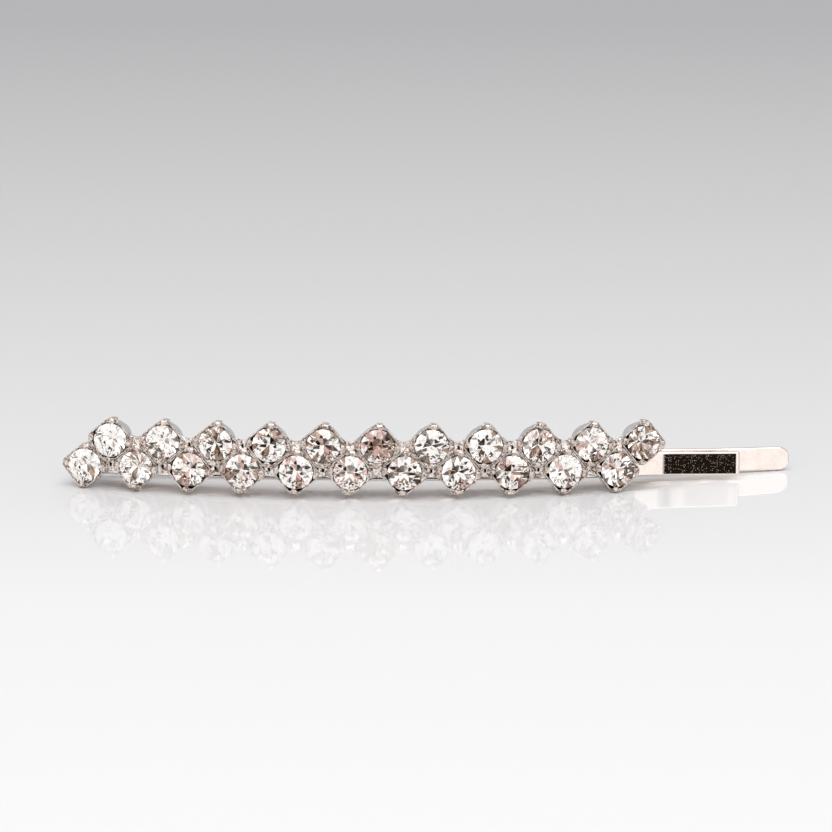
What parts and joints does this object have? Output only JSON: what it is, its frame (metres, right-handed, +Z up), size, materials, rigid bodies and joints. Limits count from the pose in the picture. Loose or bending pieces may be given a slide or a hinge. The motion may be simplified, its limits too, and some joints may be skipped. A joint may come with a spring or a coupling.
{
  "type": "rhinestone hair clip",
  "caption": "Flat spring hair pin with a bowed front arm that carries two staggered rows of round faceted stones in square pronged cups; the back arm springs open to take a lock of hair.",
  "frame": {"origin": "bottom centre of the clip's bounding box, on the surface it stands on", "axes": "+X along the pin from the bend to the free ends, -Y towards the side that the stones face, +Z up with the clip standing on its long edge"},
  "size_m": [0.0642, 0.0113, 0.0067],
  "materials": {
    "pin_steel": "polished, plated pale rose",
    "cup_silver": "polished, plated silver",
    "stone_glass": "clear faceted glass with a mirror-foiled back",
    "solder": "smooth, plated with the cups"
  },
  "bodies": {
    "stone_side": {"front_arm": "pin_steel", "spring_bend": "pin_steel", "solder_seam": "solder", "solder_fillets": "solder", "upper_cup_1": "cup_silver", "upper_cup_2": "cup_silver", "upper_cup_3": "cup_silver", "upper_cup_4": "cup_silver", "upper_cup_5": "cup_silver", "upper_cup_6": "cup_silver", "upper_cup_7": "cup_silver", "upper_cup_8": "cup_silver", "upper_cup_9": "cup_silver", "upper_cup_10": "cup_silver", "upper_cup_11": "cup_silver", "lower_cup_1": "cup_silver", "lower_cup_2": "cup_silver", "lower_cup_3": "cup_silver", "lower_cup_4": "cup_silver", "lower_cup_5": "cup_silver", "lower_cup_6": "cup_silver", "lower_cup_7": "cup_silver", "lower_cup_8": "cup_silver", "lower_cup_9": "cup_silver", "lower_cup_10": "cup_silver", "lower_cup_11": "cup_silver", "upper_stone_1": "stone_glass", "upper_stone_2": "stone_glass", "upper_stone_3": "stone_glass", "upper_stone_4": "stone_glass", "upper_stone_5": "stone_glass", "upper_stone_6": "stone_glass", "upper_stone_7": "stone_glass", "upper_stone_8": "stone_glass", "upper_stone_9": "stone_glass", "upper_stone_10": "stone_glass", "upper_stone_11": "stone_glass", "lower_stone_1": "stone_glass", "lower_stone_2": "stone_glass", "lower_stone_3": "stone_glass", "lower_stone_4": "stone_glass", "lower_stone_5": "stone_glass", "lower_stone_6": "stone_glass", "lower_stone_7": "stone_glass", "lower_stone_8": "stone_glass", "lower_stone_9": "stone_glass", "lower_stone_10": "stone_glass", "lower_stone_11": "stone_glass"},
    "back_arm": {"back_arm": "pin_steel"}
  },
  "joints": [
    {"name": "arm_spring", "type": "hinge", "parent": "stone_side", "child": "back_arm", "pos_m": [-0.02844, 0.00125, 0.00166], "axis": [0.0018, 0.1217, 0.9926], "range_deg": [-1.2, 12], "stiffness_Nm_per_rad": 0.4, "deforming": ["spring_bend"]}
  ]
}
